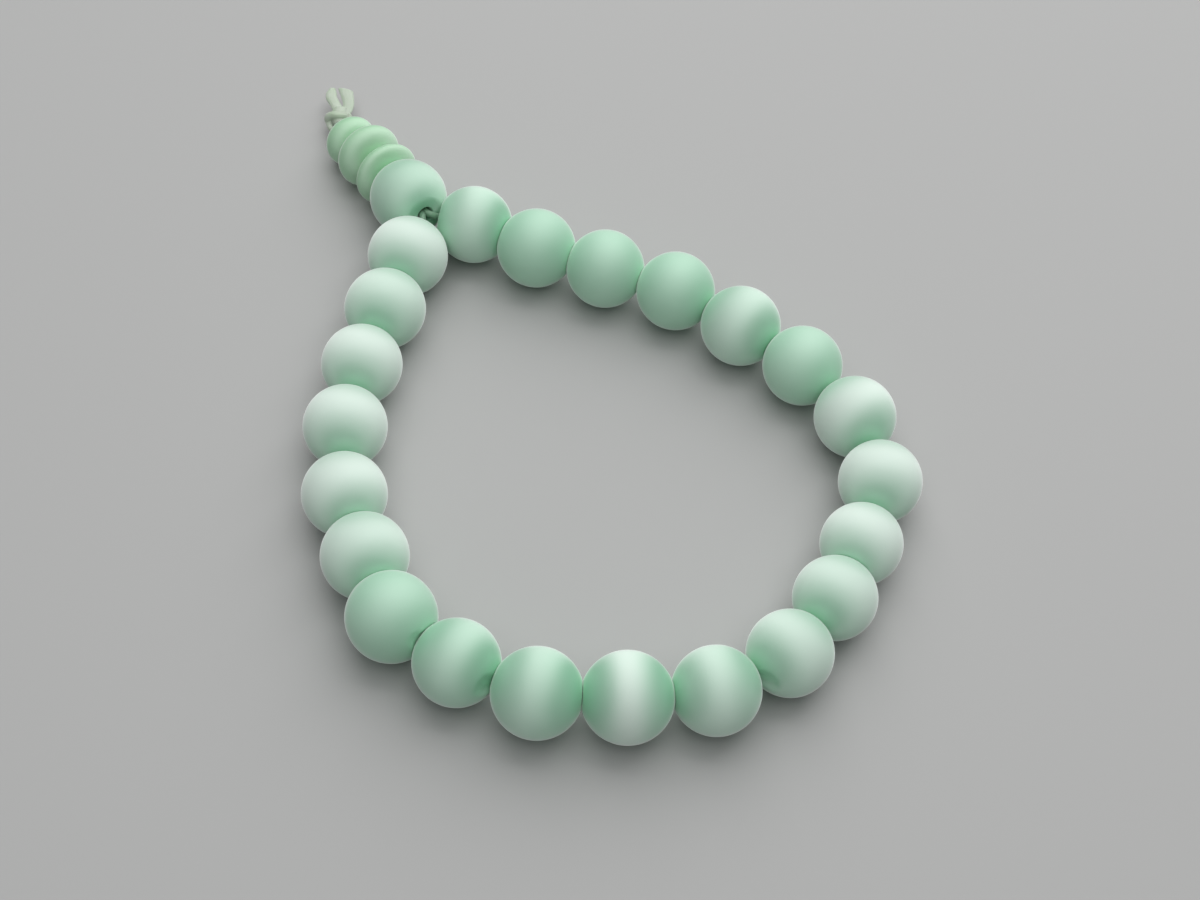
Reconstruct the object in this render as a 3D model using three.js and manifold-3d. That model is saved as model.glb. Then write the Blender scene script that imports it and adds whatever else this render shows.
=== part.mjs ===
// A beaded stretch bracelet: round satin beads on one elastic cord, closed by a guru bead,
// three rondelles and a knot. It lies flat, drawn out into a teardrop by its own tail.
// Millimetres, +Z up. The tail points along +Y and the beads rest on the plane z = 0.

import * as THREE from 'three';
import { mergeVertices } from 'three/addons/utils/BufferGeometryUtils.js';
import Module from 'manifold-3d';

// ---------------------------------------------------------------- driving dimensions

const CLEARANCE = 0.06;        // between two beads that touch on the real bracelet
const KNOT_GAP = 0.3;          // between the knot and the two strands that it ties

const BEAD_SIDES = 16;         // facets around a bead; even, so that one lies on the plane
const BEAD_STEPS = 9;          // facets from one end of a bead to the other; odd, for a flat belt
const BEAD_LAND = 0.2;         // flat ring around a bead's bore
const LOOP_BORE = 1.7;         // for one strand of cord
const TAIL_BORE = 2.2;         // for two strands, in the guru bead and the rondelles

// The loop, from the fork of the cord in front of the guru bead and back to it. A row is
// one bead: turn is how far the string turns clockwise at it, in degrees, swing is how far
// its bore swings anticlockwise from halfway through that turn, to meet the next bores,
// across is its diameter, and pitch is from its middle to the next one's. The first and the
// last bead have a flat end at the fork as well, at end from the middle.
const LOOP = [
  { name: 'bead_01', turn: 32.8, swing: -5, across: 7.90, pitch: 7.11, end: 3.43 },
  { name: 'bead_02', turn: -6.1, swing: -5, across: 8.07, pitch: 7.46 },
  { name: 'bead_03', turn: 1.6, swing: 6, across: 7.96, pitch: 7.59 },
  { name: 'bead_04', turn: 13.5, swing: -1, across: 7.96, pitch: 7.74 },
  { name: 'bead_05', turn: 5.1, swing: -1, across: 8.02, pitch: 7.65 },
  { name: 'bead_06', turn: 13.7, swing: 2, across: 7.92, pitch: 7.84 },
  { name: 'bead_07', turn: 23.8, swing: 5, across: 8.01, pitch: 7.89 },
  { name: 'bead_08', turn: 31.6, swing: -4, across: 8.01, pitch: 7.53 },
  { name: 'bead_09', turn: 7.3, swing: -4, across: 7.79, pitch: 6.76 },
  { name: 'bead_10', turn: 11.1, swing: 4, across: 7.86, pitch: 7.53 },
  { name: 'bead_11', turn: 22.2, swing: 3, across: 7.97, pitch: 7.91 },
  { name: 'bead_12', turn: 23.8, swing: -5, across: 8.10, pitch: 7.91 },
  { name: 'bead_13', turn: 9.1, swing: 1, across: 8.36, pitch: 7.93 },
  { name: 'bead_14', turn: 20.8, swing: -1, across: 8.26, pitch: 7.70 },
  { name: 'bead_15', turn: 14.1, swing: -1, across: 7.96, pitch: 7.43 },
  { name: 'bead_16', turn: 30.3, swing: 2, across: 8.36, pitch: 7.06 },
  { name: 'bead_17', turn: 4.4, swing: -6, across: 8.16, pitch: 7.23 },
  { name: 'bead_18', turn: 15.3, swing: 6, across: 8.04, pitch: 7.92 },
  { name: 'bead_19', turn: 11.4, swing: -4, across: 8.06, pitch: 7.80 },
  { name: 'bead_20', turn: 6.5, swing: -1, across: 7.89, pitch: 7.38 },
  { name: 'bead_21', turn: 0.4, swing: -1, across: 8.09, pitch: 7.34 },
  { name: 'bead_22', turn: 3.3, swing: 1, across: 8.10, end: 3.62 },
];
const FIRST_HEADING = -25.5;   // of the string as it enters the first bead, in degrees from +X

// The tail, from the guru bead outwards. It dips towards the plane by TAIL_SLOPE degrees.
// near and far are from the guru bead's middle to its ends, and reach is from there to the
// middle of the first and of the last bead. shift moves a piece sideways on the loose cord,
// and roundness is the power of a rondelle's profile: 2 is an ellipse, and more is squarer.
const TAIL_SLOPE = 10;
const GURU = { name: 'guru_bead', across: 7.97, near: 3.5, far: 3.25, reachFirst: 7.69, reachLast: 8.12 };
const RONDELLES = [
  { name: 'rondelle_inner', across: 7.0, along: 2.6, shift: 0.02, roundness: 2.3 },
  { name: 'rondelle_middle', across: 7.0, along: 3.65, shift: -0.26, roundness: 2.3 },
  { name: 'rondelle_end', across: 5.6, along: 3.2, shift: -0.5, roundness: 2.3 },
];
const RONDELLE_STEPS = 8;      // facets from one end of a rondelle to the other
const RONDELLE_LAND = 0.35;    // flat ring around a rondelle's bore

// The elastic cord: one strand around the loop, two side by side along the tail. It is
// straight for threaded to each side of a bead's middle, and forkReach is from the guru
// bead's middle to where the strands part.
const CORD = { across: 0.7, sides: 8, steps: 116, strandOffset: 0.46, threaded: 2.6, forkReach: 4.1 };

// The knot: a round body inside one turn of cord, beyond the tail's end by past and aside
// of it by side.
const KNOT = { radius: 1.1, turnRadius: 0.85, turnCord: 0.9, side: 0.75, past: 2.6, height: 1.8 };

// The two cut ends stand off the knot as flattened ribbons, each on one bend. bend and tip
// are measured from the middle of the knot.
const CUT_ENDS = [
  { across: 1.1, thick: 0.6, bend: [0.6, 2.5, 0.5], tip: [1.85, 4.65, 0.2] },
  { across: 1.4, thick: 0.6, bend: [2.6, 1.1, 0.5], tip: [3.05, 3.5, 0.4] },
];

// ---------------------------------------------------------------- materials

const satinMint = new THREE.MeshStandardMaterial({ color: '#a9d3bd', roughness: 0.45, metalness: 0 });
const satinLeaf = new THREE.MeshStandardMaterial({ color: '#9ccfa2', roughness: 0.5, metalness: 0 });
const milkyElastic = new THREE.MeshStandardMaterial({ color: '#cfdccb', roughness: 0.4, metalness: 0 });

// ---------------------------------------------------------------- solids

const wasm = await Module();
wasm.setup();

function solid(geometry) {
  const bare = geometry.clone();
  bare.deleteAttribute('normal');
  bare.deleteAttribute('uv');
  const merged = mergeVertices(bare);
  return new wasm.Manifold(new wasm.Mesh({
    numProp: 3,
    vertProperties: new Float32Array(merged.attributes.position.array),
    triVerts: new Uint32Array(merged.index.array),
  }));
}

function geometryOf(manifold) {
  const { vertProperties, triVerts } = manifold.getMesh();
  const geometry = new THREE.BufferGeometry();
  geometry.setAttribute('position', new THREE.BufferAttribute(new Float32Array(vertProperties), 3));
  geometry.setIndex(new THREE.BufferAttribute(new Uint32Array(triVerts), 1));
  return geometry;
}

// ---------------------------------------------------------------- turned shapes

const radians = THREE.MathUtils.degToRad;
const UP = new THREE.Vector3(0, 0, 1);

// The facets touch the round shape from outside, so a corner stands out by this factor.
const CORNER = 1 / Math.cos(Math.PI / BEAD_SIDES);

// A solid of revolution around local Y, open along its bore. One facet faces straight down.
function turned(outline, bore) {
  const inner = (point) => new THREE.Vector2((bore / 2) * CORNER, point.y);
  const profile = [inner(outline[0]), ...outline, inner(outline.at(-1)), inner(outline[0])];
  return new THREE.LatheGeometry(profile, BEAD_SIDES, Math.PI / BEAD_SIDES);
}

// A ball drilled along local Y and ground flat where it meets other beads. A flat's facing
// is the way out of it, and depth is from the middle of the ball.
function beadGeometry({ across }, bore, flats) {
  const radius = across / 2;
  const shoulder = Math.acos((bore / 2 + BEAD_LAND) / radius);
  const step = (2 * shoulder) / BEAD_STEPS;
  const widest = (radius * CORNER) / Math.cos(step / 2);
  const outline = [];
  for (let i = 0; i <= BEAD_STEPS; i++) {
    const angle = -shoulder + i * step;
    outline.push(new THREE.Vector2(widest * Math.cos(angle), radius * Math.sin(angle)));
  }
  let ball = solid(turned(outline, bore));
  for (const { facing, depth } of flats) {
    ball = ball.trimByPlane(facing.clone().negate().toArray(), -depth);
  }
  return geometryOf(ball);
}

// A low bead with a rounded rim and a narrow flat ring around its bore.
function rondelleGeometry({ across, along, roundness }, bore) {
  const radius = (across / 2) * CORNER;
  const power = 2 / roundness;
  const shoulder = Math.acos(((bore / 2 + RONDELLE_LAND) / radius) ** (1 / power));
  const outline = [];
  for (let i = 0; i <= RONDELLE_STEPS; i++) {
    const angle = -shoulder + (2 * shoulder * i) / RONDELLE_STEPS;
    const height = (Math.sign(angle) * along) / 2 * Math.abs(Math.sin(angle) / Math.sin(shoulder)) ** power;
    outline.push(new THREE.Vector2(radius * Math.cos(angle) ** power, height));
  }
  return turned(outline, bore);
}

// ---------------------------------------------------------------- the loop

function direction(heading) {
  return new THREE.Vector3(Math.cos(heading), Math.sin(heading), 0);
}

// Each bead of the loop with its middle and the heading of its bore. The first is at the
// origin until the guru bead is placed.
function layLoop() {
  let entering = radians(FIRST_HEADING);
  const headings = LOOP.map(({ turn, swing }) => {
    const leaving = entering - radians(turn);
    const heading = (entering + leaving) / 2 + radians(swing);
    entering = leaving;
    return { heading, leaving };
  });
  const middle = new THREE.Vector3();
  return LOOP.map((bead, i) => {
    const at = middle.clone().setZ(bead.across / 2);
    const placed = { ...bead, heading: headings[i].heading, middle: at };
    if (bead.pitch) middle.addScaledVector(direction(headings[i].leaving), bead.pitch);
    return placed;
  });
}

// The flats of a bead of the loop, in its own axes. Two neighbours share the grinding and
// face each other. The end at the fork is square to the bore.
function flatsOf(bead, before, after) {
  return [[before, -1], [after, 1]].map(([other, side]) => {
    if (!other) return { facing: new THREE.Vector3(0, side, 0), depth: bead.end };
    const facing = other.middle.clone().sub(bead.middle).setZ(0);
    const apart = facing.length();
    const shared = (apart ** 2 + (bead.across / 2) ** 2 - (other.across / 2) ** 2) / (2 * apart);
    facing.normalize().applyAxisAngle(UP, Math.PI / 2 - bead.heading);
    return { facing, depth: shared - CLEARANCE / 2 };
  });
}

// The guru bead sits in the notch outside the first and last bead, at its reach from each.
function guruMiddle(first, last) {
  const apart = last.clone().sub(first).setZ(0);
  const span = apart.length();
  const foot = (GURU.reachFirst ** 2 - GURU.reachLast ** 2 + span ** 2) / (2 * span);
  const rise = Math.sqrt(GURU.reachFirst ** 2 - foot ** 2);
  const outwards = new THREE.Vector3().crossVectors(apart, UP).normalize();
  return first.clone().addScaledVector(apart, foot / span).addScaledVector(outwards, rise);
}

// ---------------------------------------------------------------- assembly

const bracelet = new THREE.Group();

function add(name, geometry, material) {
  const mesh = new THREE.Mesh(geometry, material);
  mesh.name = name;
  bracelet.add(mesh);
  return mesh;
}

// The loop is laid with the guru bead's middle over the origin.
const loop = layLoop();
const guruAt = guruMiddle(loop[0].middle, loop.at(-1).middle).setZ(0);
for (const bead of loop) bead.middle.sub(guruAt);
loop.forEach((bead, i) => {
  const flats = flatsOf(bead, loop[i - 1], loop[i + 1]);
  const mesh = add(bead.name, beadGeometry(bead, LOOP_BORE, flats), satinMint);
  mesh.position.copy(bead.middle);
  mesh.rotation.z = bead.heading - Math.PI / 2;
});

// The tail: each piece rests on the plane, and its flat face meets the one before.
const slope = radians(TAIL_SLOPE);
const tail = [];

function addTailPiece(piece, geometry, material) {
  geometry.rotateX(-slope);
  geometry.computeBoundingBox();
  const middle = new THREE.Vector3(piece.shift ?? 0, 0, -geometry.boundingBox.min.z);
  const before = tail.at(-1);
  if (before) {
    const spacing = before.far + piece.along / 2 + CLEARANCE;
    const drop = before.middle.z - middle.z;
    middle.y = before.middle.y + (spacing - drop * Math.sin(slope)) / Math.cos(slope);
  }
  add(piece.name, geometry, material).position.copy(middle);
  tail.push({ far: piece.along / 2, ...piece, middle });
}

const guruFlats = [
  { facing: new THREE.Vector3(0, -1, 0), depth: GURU.near },
  { facing: new THREE.Vector3(0, 1, 0), depth: GURU.far },
];
addTailPiece(GURU, beadGeometry(GURU, TAIL_BORE, guruFlats), satinMint);
for (const rondelle of RONDELLES) {
  addTailPiece(rondelle, rondelleGeometry(rondelle, TAIL_BORE), satinLeaf);
}

// The strands leave the last rondelle towards the knot and stop just short of it.
const tailAxis = new THREE.Vector3(0, Math.cos(slope), -Math.sin(slope));
const tailEnd = tail.at(-1).middle.clone().addScaledVector(tailAxis, tail.at(-1).far);
const knotMiddle = new THREE.Vector3(tailEnd.x + KNOT.side, tailEnd.y + KNOT.past, KNOT.height);
const knotReach = KNOT.turnRadius + KNOT.turnCord / 2 + KNOT_GAP;
const cordEnd = knotMiddle.clone().addScaledVector(tailEnd.clone().sub(knotMiddle).normalize(), knotReach);

// The cord runs along one side of the tail, around the loop and back along the other side.
function strand(side) {
  const offset = new THREE.Vector3(side * CORD.strandOffset, 0, 0);
  const points = [cordEnd, tailEnd, ...tail.map(({ middle }) => middle).reverse()];
  points.push(tail[0].middle.clone().addScaledVector(tailAxis, -GURU.near));
  points.push(tail[0].middle.clone().addScaledVector(tailAxis, -CORD.forkReach));
  return points.map((point) => point.clone().add(offset));
}

// Where the cord passes from one bead to the next, halfway between the ends of their bores.
function crossing(one, other) {
  const reach = one.middle.distanceTo(other.middle) / 2;
  const out = one.middle.clone().addScaledVector(direction(one.heading), reach);
  const back = other.middle.clone().addScaledVector(direction(other.heading), -reach);
  return out.add(back).multiplyScalar(0.5);
}

const loopRoute = loop.flatMap((bead, i) => {
  const threaded = [-1, 1].map((end) =>
    bead.middle.clone().addScaledVector(direction(bead.heading), end * CORD.threaded));
  return i + 1 < loop.length ? [...threaded, crossing(bead, loop[i + 1])] : threaded;
});
const cordRoute = new THREE.CatmullRomCurve3(
  [...strand(1), ...loopRoute, ...strand(-1).reverse()], false, 'centripetal',
);
const cordSection = new THREE.Shape();
for (let i = 0; i < CORD.sides; i++) {
  const angle = (2 * Math.PI * i) / CORD.sides;
  const point = [(CORD.across / 2) * Math.cos(angle), (CORD.across / 2) * Math.sin(angle)];
  if (i === 0) cordSection.moveTo(...point);
  else cordSection.lineTo(...point);
}
cordSection.closePath();
const cordGeometry = new THREE.ExtrudeGeometry(cordSection, { steps: CORD.steps, extrudePath: cordRoute });
add('elastic_cord', cordGeometry, milkyElastic);

// ---------------------------------------------------------------- the knot

// A cut end is a flattened strand, from inside the body to its tip.
function cutEnd({ across, thick, bend, tip }) {
  const section = new THREE.Shape().absellipse(0, 0, across / 2, thick / 2, 0, 2 * Math.PI);
  const path = new THREE.QuadraticBezierCurve3(
    new THREE.Vector3(), new THREE.Vector3(...bend), new THREE.Vector3(...tip),
  );
  return new THREE.ExtrudeGeometry(section, { steps: 6, extrudePath: path, curveSegments: 8 });
}

let knot = solid(new THREE.SphereGeometry(KNOT.radius, 12, 8));
const turn = new THREE.TorusGeometry(KNOT.turnRadius, KNOT.turnCord / 2, 6, 14).rotateX(Math.PI / 2);
knot = knot.add(solid(turn));
for (const end of CUT_ENDS) knot = knot.add(solid(cutEnd(end)));
add('end_knot', geometryOf(knot), milkyElastic).position.copy(knotMiddle);

// ---------------------------------------------------------------- origin

// The origin is under the middle of the whole bracelet, on the plane it rests on.
const bounds = new THREE.Box3().setFromObject(bracelet, true);
bounds.getCenter(bracelet.position).negate().setZ(-bounds.min.z);
bracelet.updateMatrixWorld(true);

export default bracelet;
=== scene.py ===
"""Beaded stretch bracelet: satin beads on elastic cord, modelled around its construction frame.

Laid out as an add-on with one operator for each kind of piece, a settings group for each and a
sidebar panel. Pieces are modelled in millimetres about the origin, with their bore along Z, and
brought to metres and to their place in the frame when they are done.
"""

import math
from collections import namedtuple

import bmesh
import bpy
import numpy as np
from bpy.props import FloatProperty, FloatVectorProperty, IntProperty, PointerProperty
from mathutils import Matrix, Quaternion, Vector


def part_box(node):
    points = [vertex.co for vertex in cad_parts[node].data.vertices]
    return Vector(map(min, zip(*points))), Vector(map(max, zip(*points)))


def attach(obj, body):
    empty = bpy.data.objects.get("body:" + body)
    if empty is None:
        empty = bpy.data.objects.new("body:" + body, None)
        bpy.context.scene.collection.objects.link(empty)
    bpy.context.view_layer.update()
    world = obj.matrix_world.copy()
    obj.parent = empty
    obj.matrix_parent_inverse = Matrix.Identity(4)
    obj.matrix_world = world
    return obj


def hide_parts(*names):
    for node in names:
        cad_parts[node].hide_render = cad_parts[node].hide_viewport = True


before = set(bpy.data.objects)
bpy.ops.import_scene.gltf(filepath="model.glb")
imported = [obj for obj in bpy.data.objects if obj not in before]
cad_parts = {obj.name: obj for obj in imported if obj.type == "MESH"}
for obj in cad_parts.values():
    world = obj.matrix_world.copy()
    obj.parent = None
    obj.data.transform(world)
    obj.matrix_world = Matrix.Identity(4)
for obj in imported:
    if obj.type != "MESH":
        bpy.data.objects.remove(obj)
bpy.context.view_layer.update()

bl_info = {
    "name": "Beaded Stretch Bracelet",
    "version": (1, 0, 0),
    "blender": (4, 5, 0),
    "location": "View3D > Sidebar > Bracelet",
    "description": "Models the beads, cord, knot and stage of a beaded stretch bracelet",
    "category": "Object",
}

MM = 0.001
BODY = "root"
CAD_SIDES = 16  # flats around every bead of the frame
WRAP = "wrap"  # the UV map that runs around the bore in u and from end to end in v
LEAN_CAP = math.cos(math.radians(30))  # how far from a pole a ball leans all together
LEAN_SIZE = 4.0  # millimetres over which the leaning dies away
LEAST_LEAN = 0.001  # radians, below which a ball isn't leant
CUT_REACH = 0.01  # millimetres within which a corner counts as on a cut
CAP_CORNERS = 8  # a ground end has more corners than this, and no other face has
CAP_FACING = 0.999  # the least cosine from the way that an end faces to its cap's normal
SHOULDER_STEPS = 5  # faces across the softened edge of a ground end
MOUTH_EDGE = 0.08  # millimetres, the width of the softened edge of a mouth
MOUTH_STEPS = 3  # faces across it
RONDELLE_SHOULDER = 0.15  # millimetres, the width of the softened edge of a rondelle's end
DENT_CORE = 0.995  # the least cosine from a dent's middle to the faces pressed in all the way
RING_SLACK = 2e-3  # millimetres within which an edge counts as on a ring
SMOOTH_ANGLE = math.radians(50)  # edges sharper than this stay sharp
TUBE_STEPS = 6  # rings of a tube from one handle to the next
TUBE_ROUNDNESS = 4  # faces added to each quarter of a tube's section
CAP_WELD = 0.001  # millimetres within which a tube's caps are welded to its wall
LEAST_LAND = 0.1  # millimetres of flat left around a mouth, at least
SLIVER = 5e-4  # millimetres, the longest edge that is welded away after the cuts
RIM_EASE = 0.02  # millimetres that a round rondelle is slimmer than its box, to clear the floor

LOOP_BEADS = [f"bead_{number:02d}" for number in range(1, 23)]
GURU = "guru_bead"
RONDELLES = ["rondelle_inner", "rondelle_middle", "rondelle_end"]
TAIL = [GURU, *RONDELLES]

# How much painted highlight each bead shows, as a milky white band painted around its middle
# where the satin streaks the light; how far the band spreads, how far its middle lies towards
# the next bead, how pale the bead is, and whether its finish is silky or matte.
BeadLook = namedtuple("BeadLook", "silk spread shift pale finish")
BEAD_LOOKS = {
    "bead_01": BeadLook(0.52, 0.28, -0.06, 0.05, "silky"),
    "bead_02": BeadLook(0.10, 0.20, 0.00, 0.20, "matte"),
    "bead_03": BeadLook(0.10, 0.20, 0.00, 0.22, "matte"),
    "bead_04": BeadLook(0.10, 0.20, 0.00, 0.20, "matte"),
    "bead_05": BeadLook(0.62, 0.27, -0.02, 0.08, "silky"),
    "bead_06": BeadLook(0.15, 0.20, 0.00, 0.25, "matte"),
    "bead_07": BeadLook(1.00, 0.24, -0.02, 0.18, "silky"),
    "bead_08": BeadLook(1.00, 0.30, -0.04, 0.22, "silky"),
    "bead_09": BeadLook(1.00, 0.30, -0.04, 0.22, "silky"),
    "bead_10": BeadLook(0.80, 0.28, -0.03, 0.15, "silky"),
    "bead_11": BeadLook(0.70, 0.26, -0.02, 0.25, "silky"),
    "bead_12": BeadLook(0.55, 0.25, 0.05, 0.15, "silky"),
    "bead_13": BeadLook(0.90, 0.16, 0.02, 0.08, "silky"),
    "bead_14": BeadLook(0.42, 0.22, 0.06, 0.05, "silky"),
    "bead_15": BeadLook(0.35, 0.24, 0.03, 0.05, "silky"),
    "bead_16": BeadLook(0.15, 0.22, 0.00, 0.20, "matte"),
    "bead_17": BeadLook(0.80, 0.28, 0.03, 0.15, "silky"),
    "bead_18": BeadLook(1.00, 0.31, 0.04, 0.24, "silky"),
    "bead_19": BeadLook(1.00, 0.30, 0.04, 0.20, "silky"),
    "bead_20": BeadLook(1.00, 0.30, 0.04, 0.22, "silky"),
    "bead_21": BeadLook(0.75, 0.28, 0.04, 0.15, "silky"),
    "bead_22": BeadLook(0.95, 0.28, 0.03, 0.20, "silky"),
    GURU: BeadLook(0.40, 0.26, 0.00, 0.15, "silky"),
}

# Soft worn dents beside a ground end: which end, then how far aside of the way that it faces,
# to the left, and how far up, both as shares of the bead's radius, and the depth and the
# breadth in millimetres.
Dent = namedtuple("Dent", "end aside up depth breadth")
DENTS = {
    "bead_11": Dent(1, 0.40, 0.09, 0.24, 0.9),
    "bead_15": Dent(0, -0.40, 0.22, 0.24, 0.9),
    "bead_16": Dent(0, -0.22, 0.29, 0.15, 0.7),
}


# ---------------------------------------------------------------- settings


class BeadSettings(bpy.types.PropertyGroup):
    segments: IntProperty(name="Segments", description="Faces around a bead", default=96)
    rings: IntProperty(name="Rings", description="Rings of faces from pole to pole", default=64)
    shoulder: FloatProperty(
        name="Shoulder", description="Width of the softened edge of a ground end",
        default=0.0002, unit="LENGTH",
    )
    bore: FloatProperty(
        name="Bore", description="Hole for one strand of cord", default=0.0013, unit="LENGTH",
    )
    mouth: FloatProperty(
        name="Mouth", description="Width of the bore's flared mouth", default=0.0018, unit="LENGTH",
    )
    tail_bore: FloatProperty(
        name="Tail bore", description="Hole for two strands of cord", default=0.0016, unit="LENGTH",
    )
    tail_mouth: FloatProperty(
        name="Tail mouth", description="Width of the flared mouth of a hole for two strands",
        default=0.0018, unit="LENGTH",
    )
    flare: FloatProperty(
        name="Flare", description="Depth of the flared mouth", default=0.0004, unit="LENGTH",
    )
    colour: FloatVectorProperty(
        name="Colour", description="Satin mint body", subtype="COLOR", size=3,
        default=(0.17, 0.56, 0.31), min=0, max=1,
    )
    # The milky white of the mottle and of each bead's paleness, and also the colour of the painted
    # highlight band.
    milk_and_highlight_colour: FloatVectorProperty(
        name="Silk colour", description="Milky band around the middle", subtype="COLOR", size=3,
        default=(0.83, 0.93, 0.86), min=0, max=1,
    )


class RondelleSettings(bpy.types.PropertyGroup):
    land: FloatProperty(
        name="Land", description="Radius of the flat around the bore", default=0.0014, unit="LENGTH",
    )
    colour: FloatVectorProperty(
        name="Colour", description="Yellower satin green", subtype="COLOR", size=3,
        default=(0.31, 0.67, 0.36), min=0, max=1,
    )


class CordSettings(bpy.types.PropertyGroup):
    across: FloatProperty(
        name="Diameter", description="Thickness of one strand", default=0.0007, unit="LENGTH",
    )
    strand_offset: FloatProperty(
        name="Strand offset", description="From the tail's axis to each strand",
        default=0.00037, unit="LENGTH",
    )
    # Painted shade and green bounce from the beads: darker and greener than the knot's elastic.
    colour: FloatVectorProperty(
        name="Colour", description="Half-clear elastic between the beads", subtype="COLOR", size=3,
        default=(0.22, 0.36, 0.27), min=0, max=1,
    )


class KnotSettings(bpy.types.PropertyGroup):
    side: FloatProperty(
        name="Aside", description="Knot's middle aside of the tail's end", default=0.00075, unit="LENGTH",
    )
    past: FloatProperty(
        name="Past", description="Knot's middle beyond the tail's end", default=0.0026, unit="LENGTH",
    )
    height: FloatProperty(
        name="Height", description="Knot's middle above the surface", default=0.0018, unit="LENGTH",
    )
    cord: FloatProperty(
        name="Cord", description="Thickness of the doubled cord in the knot", default=0.00096,
        unit="LENGTH",
    )
    ribbon: FloatProperty(
        name="Ribbon", description="Thickness of a flattened cut end", default=0.0006, unit="LENGTH",
    )
    colour: FloatVectorProperty(
        name="Colour", description="Milky slack elastic", subtype="COLOR", size=3,
        default=(0.56, 0.60, 0.54), min=0, max=1,
    )


class StageSettings(bpy.types.PropertyGroup):
    lens: FloatProperty(name="Lens", description="Focal length on a 36 mm sensor", default=63.0, min=1)
    azimuth: FloatProperty(
        name="Azimuth", description="Direction of the camera around the part",
        default=math.radians(-38.1), subtype="ANGLE",
    )
    elevation: FloatProperty(
        name="Elevation", description="Height of the camera as an angle",
        default=math.radians(53.07), subtype="ANGLE",
    )
    roll: FloatProperty(
        name="Roll", description="Turn of the camera about its own axis",
        default=math.radians(5.72), subtype="ANGLE",
    )
    distance: FloatProperty(
        name="Distance", description="From the camera to its target", default=0.2048, unit="LENGTH",
    )
    target: FloatVectorProperty(
        name="Target", description="Where the camera looks, from the guru bead, on the floor",
        size=2, default=(0.00089, -0.03513), unit="LENGTH",
    )
    floor_colour: FloatVectorProperty(
        name="Floor", description="Plain pale floor", subtype="COLOR", size=3,
        default=(0.44, 0.44, 0.435), min=0, max=1,
    )


# ---------------------------------------------------------------- the frame's pieces

# A bored piece: its middle, its own axes in columns (the bore is the last, and the second is
# up), its diameter, and its two ends, each by the way it faces and how far out it is.
Turned = namedtuple("Turned", "middle axes across ends")
End = namedtuple("End", "facing depth")


def bored(node, after):
    """Middle, bore and diameter of a bored node, with the bore towards the point after it."""
    low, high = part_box(node)
    centre = (low + high) / 2
    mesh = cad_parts[node].data
    bore_walls = [face.normal for face in mesh.polygons if face.normal.dot(face.center - centre) < 0]
    bore = Vector(np.linalg.svd(np.array(bore_walls))[2][-1])
    if bore.dot(after - centre) < 0:
        bore.negate()
    side = Vector((0, 0, 1)).cross(bore).normalized()
    axes = Matrix((side, bore.cross(side), bore)).transposed()
    places = np.array([vertex.co for vertex in mesh.vertices]) @ np.array(axes)
    middle = (places.min(axis=0) + places.max(axis=0)) / 2
    radius = np.hypot(*(places - middle)[:, :2].T)
    widest = places[radius > radius.max() - 1e-6][:, 2]
    middle[2] = (widest.min() + widest.max()) / 2
    across = 2 * radius.max() * math.cos(math.pi / CAD_SIDES)
    return Turned(axes @ Vector(middle), axes, across, [])


def with_ends(node, piece, facings):
    """The same with its ends, as far out as the node reaches the way that each faces."""
    places = np.array([vertex.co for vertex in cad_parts[node].data.vertices])
    ends = [
        End(facing, (places @ np.array(facing)).max() - piece.middle.dot(facing)) for facing in facings
    ]
    return piece._replace(ends=ends)


def level(vector):
    return Vector((vector.x, vector.y, 0)).normalized()


def loop_pieces():
    """The beads of the loop in order. Each end faces the next bead, or squarely out at the fork."""
    rough = [(low + high) / 2 for low, high in (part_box(node) for node in [*LOOP_BEADS, GURU])]
    pieces = [bored(node, after) for node, after in zip(LOOP_BEADS, rough[1:])]
    made = []
    for place, (node, piece) in enumerate(zip(LOOP_BEADS, pieces)):
        bore = piece.axes.col[2]
        back = level(pieces[place - 1].middle - piece.middle) if place else -bore
        on = level(pieces[place + 1].middle - piece.middle) if place + 1 < len(pieces) else bore.copy()
        made.append(with_ends(node, piece, [back, on]))
    return made


def tail_pieces():
    """The pieces of the tail from the guru bead outwards, with their ends square to the bore."""
    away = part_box(GURU)[1] + Vector((0, 1, 0))
    made = []
    for node in TAIL:
        piece = bored(node, away)
        bore = piece.axes.col[2]
        made.append(with_ends(node, piece, [-bore, bore.copy()]))
    return made


# ---------------------------------------------------------------- modelling by hand


def deselect():
    for item in bpy.context.selected_objects:
        item.select_set(False)


def activate(piece):
    deselect()
    piece.select_set(True)
    bpy.context.view_layer.objects.active = piece


def edit(piece):
    activate(piece)
    bpy.ops.object.mode_set(mode="EDIT")


def leave_edit():
    bpy.ops.object.mode_set(mode="OBJECT")


def choose_faces(piece, test):
    bpy.ops.mesh.select_mode(type="FACE")
    shape = bmesh.from_edit_mesh(piece.data)
    for face in shape.faces:
        face.select_set(test(face))
    shape.select_flush_mode()
    bmesh.update_edit_mesh(piece.data)


def choose_edges(piece, test):
    bpy.ops.mesh.select_mode(type="EDGE")
    shape = bmesh.from_edit_mesh(piece.data)
    for edge in shape.edges:
        edge.select_set(test(edge))
    shape.select_flush_mode()
    bmesh.update_edit_mesh(piece.data)


def copy_of(piece, name):
    copy = bpy.data.objects.new(name, piece.data.copy())
    bpy.context.scene.collection.objects.link(copy)
    return copy


def discard(piece):
    mesh = piece.data
    bpy.data.objects.remove(piece)
    bpy.data.meshes.remove(mesh)


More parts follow.
